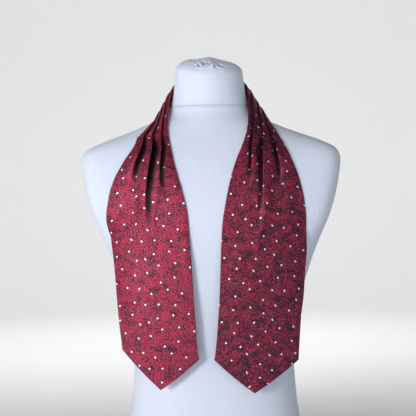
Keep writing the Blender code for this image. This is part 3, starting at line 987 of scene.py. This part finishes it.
def repeat_places(tree, places):
    """Fold places on the cloth, in millimetres, into one repeat of the dots."""
    split = add(tree, "ShaderNodeSeparateXYZ", {0: places})
    across = add(tree, "ShaderNodeMath", {0: split.outputs["X"], 1: CUT_WIDTH},
                 operation="FLOORED_MODULO")
    along = add(tree, "ShaderNodeMath", {0: split.outputs["Y"], 1: REPEAT_HEIGHT},
                operation="FLOORED_MODULO")
    joined = add(tree, "ShaderNodeCombineXYZ", {"X": across.outputs[0], "Y": along.outputs[0]})
    return joined.outputs[0]


def repeat_copies(margin):
    """Every dot of the repeat, with those from next door that reach over its edge."""
    copies = []
    for dot_x, dot_y in REPEAT_DOTS:
        for x in (dot_x - CUT_WIDTH, dot_x, dot_x + CUT_WIDTH):
            for y in (dot_y - REPEAT_HEIGHT, dot_y, dot_y + REPEAT_HEIGHT):
                beside = -margin < x < CUT_WIDTH + margin
                if beside and -margin < y < REPEAT_HEIGHT + margin:
                    copies.append((x, y, 0.0))
    return copies


def dot_distance(tree, places, margin):
    """Distance from the nearest pin dot, in millimetres."""
    folded = repeat_places(tree, places)
    nearest = None
    for centre in repeat_copies(margin):
        distance = add(tree, "ShaderNodeVectorMath", {0: folded, 1: centre},
                       operation="DISTANCE").outputs["Value"]
        if nearest is not None:
            distance = add(tree, "ShaderNodeMath", {0: nearest, 1: distance},
                           operation="MINIMUM").outputs[0]
        nearest = distance
    return nearest


def silk_material(name, cloth, shift=(0.0, 0.0), painted_shade_slope=(0.0, 0.0)):
    """Woven silk mixed from rose, burgundy and charcoal yarns, with white pin dots. The charcoal
    gains with every millimetre across and along the cut by the given slope, which is painted
    shade where the cloth turns away from the light. The folds' valleys get painted shade too."""
    material, tree, shader = new_material(name)
    uv = add(tree, "ShaderNodeUVMap", uv_map="cut")
    places = add(tree, "ShaderNodeMapping", {"Vector": uv.outputs["UV"],
                 "Location": (shift[0], shift[1], 0), "Scale": grey(1 / MM)}).outputs[0]

    def mottle(across, along, detail, distortion, offset):
        spot = add(tree, "ShaderNodeMapping", {"Vector": places, "Location": (offset, offset, 0),
                   "Scale": (1 / across, 1 / along, 1)})
        noise = add(tree, "ShaderNodeTexNoise", {"Vector": spot.outputs[0], "Scale": 1.0,
                    "Detail": detail, "Roughness": 0.55, "Distortion": distortion},
                    noise_dimensions="2D")
        return noise.outputs["Fac"]

    flecks = mottle(2.0, 1.5, 3.0, 0.0, 0.0)
    charcoal_yarn = mottle(3.4, 1.7, 3.0, 0.3, 31.0)
    patches = mottle(17.0, 11.0, 2.0, 0.5, 57.0)
    threads = mottle(7.0, 0.9, 1.0, 0.0, 83.0)

    rose, burgundy, charcoal = cloth.rose[:], cloth.burgundy[:], cloth.charcoal[:]
    ground = ramp(tree, flecks, ((0.32, tuple(0.4 * part for part in burgundy)),
                                 (0.48, burgundy), (0.60, rose)))
    # painted shade: more charcoal where the cloth turns away from the light
    painted_shade_amount = add(tree, "ShaderNodeVectorMath", {0: places, 1: (*painted_shade_slope, 0)},
                 operation="DOT_PRODUCT").outputs["Value"]
    mean = add(tree, "ShaderNodeMath", {0: patches, 1: 0.5, 2: painted_shade_amount},
               operation="MULTIPLY_ADD").outputs[0]
    lean = add(tree, "ShaderNodeMath", {0: charcoal_yarn, 1: mean}, operation="ADD").outputs[0]
    dark = ramp(tree, lean, ((0.74, grey(0.0)), (0.85, grey(0.95))))
    mixed = add(tree, "ShaderNodeMix", {"Factor": dark, "A": ground, "B": (*charcoal, 1)},
                data_type="RGBA")
    shade = ramp(tree, threads, ((0.3, grey(0.86)), (0.7, grey(1.12))))
    woven = add(tree, "ShaderNodeMix", {"Factor": 1.0, "A": mixed.outputs[2], "B": shade},
                data_type="RGBA", blend_type="MULTIPLY").outputs[2]

    radius = 0.5 * cloth.dot_width / MM
    reach = 2.2 * radius
    distance = dot_distance(tree, places, reach)
    near = add(tree, "ShaderNodeMath", {0: distance, 1: reach}, operation="DIVIDE").outputs[0]
    ring = ramp(tree, near, ((0.30, grey(1.0)), (0.55, grey(0.75)), (0.80, grey(0.0))))
    ringed = add(tree, "ShaderNodeMix", {"Factor": ring, "A": woven,
                 "B": (*(0.4 * part for part in charcoal), 1)}, data_type="RGBA").outputs[2]
    white = ramp(tree, near, ((0.38, grey(1.0)), (0.50, grey(0.0))))
    coloured = add(tree, "ShaderNodeMix", {"Factor": white, "A": ringed,
                   "B": (*cloth.dot_colour, 1)}, data_type="RGBA").outputs[2]
    # painted shade: the folds' valleys go nearly black
    valley_shade_paint = add(tree, "ShaderNodeAttribute", attribute_name="painted_fold_shade").outputs["Fac"]
    shaded = add(tree, "ShaderNodeMix", {"Factor": valley_shade_paint, "A": coloured,
                 "B": (*(0.12 * part for part in charcoal), 1)}, data_type="RGBA").outputs[2]
    tree.links.new(shaded, shader.inputs["Base Color"])

    raised = add(tree, "ShaderNodeMath", {0: white, 1: 1.2, 2: threads}, operation="MULTIPLY_ADD")
    relief = add(tree, "ShaderNodeMath", {0: flecks, 1: 0.8, 2: raised.outputs[0]},
                 operation="MULTIPLY_ADD")
    bump = add(tree, "ShaderNodeBump", {"Height": relief.outputs[0], "Strength": 0.35,
               "Distance": 0.12 * MM})
    tree.links.new(bump.outputs[0], shader.inputs["Normal"])
    shine = ramp(tree, flecks, ((0.3, grey(0.58)), (0.7, grey(0.48))))
    tree.links.new(shine, shader.inputs["Roughness"])
    shader.inputs["Metallic"].default_value = 0.5
    shader.inputs["Specular IOR Level"].default_value = 0.3
    return material


def jersey_material(form):
    """Matt knitted jersey in a cool white, with upright wales that the shape pulls apart."""
    material, tree, shader = new_material("jersey_knit")
    uv = add(tree, "ShaderNodeUVMap", uv_map="knit")
    turn = 2 * math.pi / form.wale
    split = add(tree, "ShaderNodeSeparateXYZ", {0: uv.outputs["UV"]})
    wales = add(tree, "ShaderNodeMath", {0: split.outputs["X"], 1: turn}, operation="MULTIPLY")
    wales = add(tree, "ShaderNodeMath", {0: wales.outputs[0]}, operation="COSINE")
    courses = add(tree, "ShaderNodeMath", {0: split.outputs["Y"], 1: 1.3 * turn},
                  operation="MULTIPLY")
    courses = add(tree, "ShaderNodeMath", {0: courses.outputs[0]}, operation="COSINE")
    knit = add(tree, "ShaderNodeMath", {0: courses.outputs[0], 1: 0.4, 2: wales.outputs[0]},
               operation="MULTIPLY_ADD")
    long_way = add(tree, "ShaderNodeMapping", {"Vector": uv.outputs["UV"],
                   "Scale": (1 / (3.2 * MM), 1 / (60 * MM), 1)})
    streaks = add(tree, "ShaderNodeTexNoise", {"Vector": long_way.outputs[0], "Scale": 1.0,
                  "Detail": 3.0, "Roughness": 0.6}, noise_dimensions="2D")
    cover = form.cover[:]
    colour = ramp(tree, streaks.outputs["Fac"], ((0.3, tuple(0.955 * part for part in cover)),
                                                 (0.7, cover)))
    # painted shade: the gathers' troughs and the seam lines go darker
    crease_shade_paint = add(tree, "ShaderNodeAttribute", attribute_name="painted_crease_shade").outputs["Fac"]
    shaded = add(tree, "ShaderNodeMix", {"Factor": crease_shade_paint, "A": colour,
                 "B": (*(0.15 * part for part in cover), 1)}, data_type="RGBA").outputs[2]
    tree.links.new(shaded, shader.inputs["Base Color"])
    uneven = add(tree, "ShaderNodeMath", {0: streaks.outputs["Fac"], 1: 1.5, 2: knit.outputs[0]},
                 operation="MULTIPLY_ADD")
    bump = add(tree, "ShaderNodeBump", {"Height": uneven.outputs[0], "Strength": 0.25,
               "Distance": 0.08 * MM})
    tree.links.new(bump.outputs[0], shader.inputs["Normal"])
    shader.inputs["Roughness"].default_value = 0.85
    shader.inputs["Specular IOR Level"].default_value = 0.25
    shader.inputs["Sheen Weight"].default_value = 0.25
    shader.inputs["Sheen Roughness"].default_value = 0.5
    return material


def thread_material(name, colour):
    """Twisted sewing thread, with a slight shine."""
    material, tree, shader = new_material(name)
    here = add(tree, "ShaderNodeTexCoord")
    twist = add(tree, "ShaderNodeTexNoise", {"Vector": here.outputs["Object"],
                "Scale": 1 / (0.6 * MM), "Detail": 2.0})
    shaded = ramp(tree, twist.outputs["Fac"], ((0.3, tuple(0.8 * part for part in colour)),
                                               (0.7, colour)))
    tree.links.new(shaded, shader.inputs["Base Color"])
    shader.inputs["Roughness"].default_value = 0.6
    return material


def stitch_tree():
    """Geometry Nodes that lay a row of short stitches along a path, on the surface's side."""
    tree = bpy.data.node_groups.new("stitch_row", "GeometryNodeTree")
    sockets = (("Path", "NodeSocketGeometry", "INPUT"), ("Spacing", "NodeSocketFloat", "INPUT"),
               ("Length", "NodeSocketFloat", "INPUT"), ("Radius", "NodeSocketFloat", "INPUT"),
               ("Thread", "NodeSocketMaterial", "INPUT"), ("Stitches", "NodeSocketGeometry", "OUTPUT"))
    for name, kind, way in sockets:
        tree.interface.new_socket(name=name, in_out=way, socket_type=kind)
    given = add(tree, "NodeGroupInput").outputs
    out = add(tree, "GeometryNodeInputNamedAttribute", {"Name": "out"}, data_type="FLOAT_VECTOR")
    curve = add(tree, "GeometryNodeMeshToCurve", {"Mesh": given["Path"]})
    spaced = add(tree, "GeometryNodeResampleCurve", {"Curve": curve.outputs[0],
                 "Length": given["Spacing"]}, mode="LENGTH")
    start = add(tree, "ShaderNodeCombineXYZ", {"X": given["Length"]})
    line = add(tree, "GeometryNodeCurvePrimitiveLine", {"Start": (0, 0, 0),
               "End": start.outputs[0]})
    bent = add(tree, "GeometryNodeResampleCurve", {"Curve": line.outputs[0], "Count": 6},
               mode="COUNT")
    share = add(tree, "GeometryNodeSplineParameter").outputs["Factor"]
    turn = add(tree, "ShaderNodeMath", {0: share, 1: math.pi}, operation="MULTIPLY")
    arch = add(tree, "ShaderNodeMath", {0: turn.outputs[0]}, operation="SINE")
    lifted = add(tree, "ShaderNodeMath", {0: arch.outputs[0], 1: given["Radius"]},
                 operation="MULTIPLY")
    raised = add(tree, "ShaderNodeCombineXYZ", {"Z": lifted.outputs[0]})
    arched = add(tree, "GeometryNodeSetPosition", {"Geometry": bent.outputs[0],
                 "Offset": raised.outputs[0]})
    circle = add(tree, "GeometryNodeCurvePrimitiveCircle", {"Resolution": 6,
                 "Radius": given["Radius"]})
    thread = add(tree, "GeometryNodeCurveToMesh", {"Curve": arched.outputs[0],
                 "Profile Curve": circle.outputs[0], "Fill Caps": True})
    ahead = add(tree, "GeometryNodeInputTangent")
    along = add(tree, "FunctionNodeAlignEulerToVector", {"Vector": ahead.outputs[0]}, axis="X")
    upright = add(tree, "FunctionNodeAlignEulerToVector", {"Rotation": along.outputs[0],
                  "Vector": out.outputs[0]}, axis="Z", pivot_axis="X")
    placed = add(tree, "GeometryNodeInstanceOnPoints", {"Points": spaced.outputs[0],
                 "Instance": thread.outputs[0], "Rotation": upright.outputs[0]})
    real = add(tree, "GeometryNodeRealizeInstances", {"Geometry": placed.outputs[0]})
    dyed = add(tree, "GeometryNodeSetMaterial", {"Geometry": real.outputs[0],
               "Material": given["Thread"]})
    add(tree, "NodeGroupOutput", {"Stitches": dyed.outputs[0]})
    return tree


def stitch_rows(name, paths, thread, spacing, length, radius):
    """One mesh of stitches along paths, each given as its points and the ways out of the cloth."""
    mesh = bpy.data.meshes.new(name)
    points = np.concatenate([points for points, _ in paths])
    edges, first = [], 0
    for path, _ in paths:
        edges += [(first + step, first + step + 1) for step in range(len(path) - 1)]
        first += len(path)
    mesh.from_pydata((points * MM).tolist(), edges, [])
    out = mesh.attributes.new("out", "FLOAT_VECTOR", "POINT")
    normals = np.concatenate([normals for _, normals in paths])
    out.data.foreach_set("vector", normals.astype(np.float32).ravel())
    piece = bpy.data.objects.new(name, mesh)
    bpy.context.scene.collection.objects.link(piece)
    tree = stitch_tree()
    modifier = piece.modifiers.new("stitches", "NODES")
    modifier.node_group = tree
    values = {"Spacing": spacing, "Length": length, "Radius": radius, "Thread": thread}
    for socket in tree.interface.items_tree:
        if socket.name in values:
            modifier[socket.identifier] = values[socket.name]
    evaluated = piece.evaluated_get(bpy.context.evaluated_depsgraph_get())
    stitches = bpy.data.meshes.new_from_object(evaluated)
    piece.modifiers.clear()
    piece.data = stitches
    bpy.data.meshes.remove(mesh)
    stitches.name = name
    stitches.shade_smooth()
    return piece


def finished_form(form):
    """The dress form's rings and the painted shade of its creases, at the sizes that its settings
    give.
    """
    return form_surface(form.seam_depth / MM, form.gather_depth / MM)


def finished_strip(scene):
    """The cravat's strip of cloth, settled on the dress form."""
    form, cloth = scene.cravat_form, scene.cravat_cloth
    return settled_strip(form.seam_depth / MM, form.gather_depth / MM, cloth.wall / MM,
                         cloth.pleat_step / MM)


@lru_cache(maxsize=1)
def settled_strip(seam_depth, gather_depth, wall, pleat_step):
    """The same, worked out once for each set of sizes."""
    mesh = form_mesh("resting_shape", *form_surface(seam_depth, gather_depth))
    shape = bmesh.new()
    shape.from_mesh(mesh)
    bmesh.ops.scale(shape, vec=grey(1 / MM), verts=shape.verts)
    form_tree = BVHTree.FromBMesh(shape)
    shape.free()
    bpy.data.meshes.remove(mesh)
    return cloth_strip(form_tree, wall, pleat_step)


def hand_over(piece, node=None):
    """Let a finished piece ride on the body and stand for its CAD node."""
    if node:
        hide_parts(node)
    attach(piece, BODY)


class CRAVAT_OT_dress_form(Operator):
    """Make the dress form in its jersey cover"""

    bl_idname = "cravat.dress_form"
    bl_label = "Dress form"

    def execute(self, context):
        form = context.scene.cravat_form
        mesh = form_mesh("dress_form_cover", *finished_form(form))
        cover = new_object("dress_form_cover", mesh, jersey_material(form))
        hand_over(cover, "dress_form")
        return {"FINISHED"}


class CRAVAT_OT_blades(Operator):
    """Make the two pointed blades that hang on the chest"""

    bl_idname = "cravat.blades"
    bl_label = "Blades"

    def execute(self, context):
        inside, outside, places, painted_shades, centre = finished_strip(context.scene)
        cloth = context.scene.cravat_cloth
        first, last = centre - BAND_ROWS, centre + BAND_ROWS
        rows = {"blade_wearers_right": (0, first, False, True, RIGHT_SHIFT, (0.0, 0.0)),
                "blade_wearers_left": (last, len(inside) - 1, True, False, LEFT_SHIFT,
                                       LEFT_PAINTED_SHADE)}
        for node, (start, end, trim_first, trim_last, shift, painted_shade_slope) in rows.items():
            finish = silk_material(node + "_silk", cloth, shift, painted_shade_slope)
            piece = cut((inside, outside), start, end, trim_first, trim_last)
            blade = cloth_shell(node + "_cloth", *piece, places[start:end + 1],
                                painted_shades[start:end + 1], finish)
            hand_over(blade, node)
        return {"FINISHED"}


class CRAVAT_OT_neckband(Operator):
    """Make the neckband with its stitched knife pleats"""

    bl_idname = "cravat.neckband"
    bl_label = "Neckband"

    def execute(self, context):
        inside, outside, places, painted_shades, centre = finished_strip(context.scene)
        first, last = centre - BAND_ROWS, centre + BAND_ROWS
        finish = silk_material("neckband_silk", context.scene.cravat_cloth, (0.0, 0.0),
                               BAND_PAINTED_SHADE)
        piece = cut((inside, outside), first, last, False, False)
        band = cloth_shell("neckband_cloth", *piece, places[first:last + 1],
                           painted_shades[first:last + 1], finish)
        hand_over(band, "neckband")
        return {"FINISHED"}


class CRAVAT_OT_stitching(Operator):
    """Sew the neck seam of the cover and the seams between neckband and blades"""

    bl_idname = "cravat.stitching"
    bl_label = "Stitching"

    def execute(self, context):
        rings, _ = finished_form(context.scene.cravat_form)
        normals = form_normals(rings)
        _, levels = form_rings()
        paths = []
        for height in (NECK_SEAM[0] + STITCH_BELOW_SEAM, NECK_SEAM[1] - STITCH_BELOW_SEAM):
            level = int(np.argmin(np.abs(levels - height)))
            paths.append((rings[level], normals[level]))
        thread = thread_material("jersey_thread", linear("#D3D9E8"))
        neck = stitch_rows("neck_seam_stitches", paths, thread, 3.0 * MM, 2.0 * MM, 0.22 * MM)
        hand_over(neck)

        _, outside, _, _, centre = finished_strip(context.scene)
        out = surface_normals(outside)
        paths = []
        for seam in (centre - BAND_ROWS, centre + BAND_ROWS):
            for row in (seam - 2, seam + 2):
                paths.append((outside[row], out[row]))
        thread = thread_material("silk_thread", linear("#3E1022"))
        sewn = stitch_rows("cravat_seam_stitches", paths, thread, 2.6 * MM, 1.6 * MM, 0.2 * MM)
        hand_over(sewn)
        return {"FINISHED"}


class CRAVAT_OT_studio(Operator):
    """Set up the pale floor, the soft lights and the camera"""

    bl_idname = "cravat.studio"
    bl_label = "Studio"

    def execute(self, context):
        studio = context.scene.cravat_studio
        stage_floor(studio)
        stage_lights(context.scene, studio)
        stage_camera(context.scene, studio)
        return {"FINISHED"}


FLOOR_FLAT = 2.4            # metres from the form to where the floor begins to sweep up
FLOOR_REACH = 5.5
FLOOR_RISE = 3.2
FLOOR_RINGS = 32
FLOOR_AROUND = 96


def stage_floor(studio):
    """A pale floor that sweeps up softly all round."""
    rings = [(0.0, 0.0), (0.8, 0.0), (FLOOR_FLAT, 0.0)]
    for step in range(1, FLOOR_RINGS + 1):
        share = step / FLOOR_RINGS
        rings.append((FLOOR_FLAT + (FLOOR_REACH - FLOOR_FLAT) * math.sin(0.5 * math.pi * share),
                      FLOOR_RISE * (1 - math.cos(0.5 * math.pi * share))))
    bm = bmesh.new()
    profile = [bm.verts.new((radius, 0, height)) for radius, height in rings]
    edges = [bm.edges.new(pair) for pair in zip(profile, profile[1:])]
    bmesh.ops.spin(bm, geom=profile + edges, axis=(0, 0, 1), cent=(0, 0, 0),
                   steps=FLOOR_AROUND, angle=2 * math.pi)
    bmesh.ops.remove_doubles(bm, verts=bm.verts, dist=0.0001)
    bmesh.ops.recalc_face_normals(bm, faces=bm.faces)
    bm.faces.ensure_lookup_table()
    if min(bm.faces, key=lambda face: face.calc_center_median().z).normal.z < 0:
        bmesh.ops.reverse_faces(bm, faces=bm.faces)
    mesh = bpy.data.meshes.new("studio_floor")
    bm.to_mesh(mesh)
    bm.free()
    material, tree, shader = new_material("painted_floor")
    here = add(tree, "ShaderNodeTexCoord")
    away = add(tree, "ShaderNodeVectorMath", {0: here.outputs["Object"]}, operation="LENGTH")
    share = add(tree, "ShaderNodeMath", {0: away.outputs["Value"], 1: FLOOR_REACH},
                operation="DIVIDE").outputs[0]
    colour = studio.floor_colour[:]
    shaded = ramp(tree, share, ((0.12, colour), (0.42, tuple(0.8 * part for part in colour)),
                                (0.8, tuple(0.88 * part for part in colour))))
    tree.links.new(shaded, shader.inputs["Base Color"])
    shader.inputs["Roughness"].default_value = 0.9
    shader.inputs["Specular IOR Level"].default_value = 0.1
    new_object("studio_floor", mesh, material)


def area_light(name, place, target, size, power, colour):
    """A square soft light that looks at a point."""
    light = bpy.data.lights.new(name, "AREA")
    light.size = size
    light.energy = power
    light.color = colour
    lamp = bpy.data.objects.new(name, light)
    bpy.context.scene.collection.objects.link(lamp)
    lamp.location = place
    aim = Vector(target) - Vector(place)
    lamp.rotation_euler = aim.to_track_quat("-Z", "Y").to_euler()
    lamp.visible_camera = False


def stage_lights(scene, studio):
    """A soft key from the viewer's left, weak ones beside it and in front, and two that wash the
    sweep behind and in front of the form."""
    middle = (0.0, 0.0, 0.42)
    area_light("key_light", (-2.2, -3.3, 0.75), middle, 1.1, studio.key_power,
               linear("#FFFEFC"))
    area_light("front_light", (0.2, -3.4, 0.95), middle, 1.6, studio.front_power,
               linear("#F6F9FF"))
    area_light("side_light", (-2.6, -0.6, 0.9), middle, 1.0, studio.side_power,
               linear("#FFFEFC"))
    area_light("back_wash", (0.0, 0.8, 2.6), (0.0, 5.5, 1.3), 2.6, studio.back_wash_power,
               linear("#FFFFFF"))
    area_light("front_wash", (0.0, -0.8, 2.6), (0.0, -5.5, 1.3), 2.6, studio.front_wash_power,
               linear("#FFFFFF"))
    world = bpy.data.worlds.new("studio_air")
    scene.world = world
    world.use_nodes = True
    background = world.node_tree.nodes["Background"]
    background.inputs["Color"].default_value = (*linear("#F4F7FF"), 1)
    background.inputs["Strength"].default_value = studio.fill_strength


def stage_camera(scene, studio):
    """A level camera in front of the form, leaning over a little as the photo does."""
    camera = bpy.data.cameras.new("studio_camera")
    camera.sensor_fit = "HORIZONTAL"
    camera.angle = 2 * math.atan(0.5 * studio.view_width / studio.distance)
    viewer = bpy.data.objects.new("studio_camera", camera)
    scene.collection.objects.link(viewer)
    stand = Matrix.Translation((studio.side, -studio.distance, studio.height))
    viewer.matrix_world = (stand @ Matrix.Rotation(0.5 * math.pi, 4, "X")
                           @ Matrix.Rotation(-studio.tilt, 4, "Z"))
    scene.camera = viewer
    scene.view_settings.view_transform = "Standard"


class CRAVAT_PT_sidebar(Panel):
    """Lists the pieces and their settings"""

    bl_idname = "CRAVAT_PT_sidebar"
    bl_label = "Silk cravat"
    bl_space_type = "VIEW_3D"
    bl_region_type = "UI"
    bl_category = "Cravat"

    def draw(self, context):
        for operator in OPERATORS:
            self.layout.operator(operator.bl_idname)
        for settings in SETTINGS:
            group = getattr(context.scene, settings)
            box = self.layout.box()
            for name in group.bl_rna.properties.keys():
                if name not in ("rna_type", "name"):
                    box.prop(group, name)


OPERATORS = (CRAVAT_OT_dress_form, CRAVAT_OT_neckband, CRAVAT_OT_blades, CRAVAT_OT_stitching,
             CRAVAT_OT_studio)
SETTINGS = {"cravat_cloth": CravatCloth, "cravat_form": CravatForm,
            "cravat_studio": CravatStudio}
CLASSES = (*SETTINGS.values(), *OPERATORS, CRAVAT_PT_sidebar)

# Where each blade's cut begins in the repeat of the dots, in millimetres across and along
RIGHT_SHIFT = (-4.0, 37.0)
LEFT_SHIFT = (0.0, 0.0)
BAND_PAINTED_SHADE = (0.0, 0.00045)     # painted shade: the band's charcoal gains towards the wearer's left, where it lies in the neck's shade
LEFT_PAINTED_SHADE = (0.0002, 0.0001)   # painted shade: this blade's charcoal gains towards its outer edge and its tip, which turn away from the light


def register():
    """Add the settings, operators and panel to Blender."""
    for kind in CLASSES:
        bpy.utils.register_class(kind)
    for name, kind in SETTINGS.items():
        setattr(bpy.types.Scene, name, PointerProperty(type=kind))


def unregister():
    """Take them out again."""
    for name in SETTINGS:
        delattr(bpy.types.Scene, name)
    for kind in reversed(CLASSES):
        bpy.utils.unregister_class(kind)


def main():
    """Make every piece and the studio."""
    register()
    bpy.ops.cravat.dress_form()
    bpy.ops.cravat.neckband()
    bpy.ops.cravat.blades()
    bpy.ops.cravat.stitching()
    bpy.ops.cravat.studio()


if __name__ == "__main__":
    main()
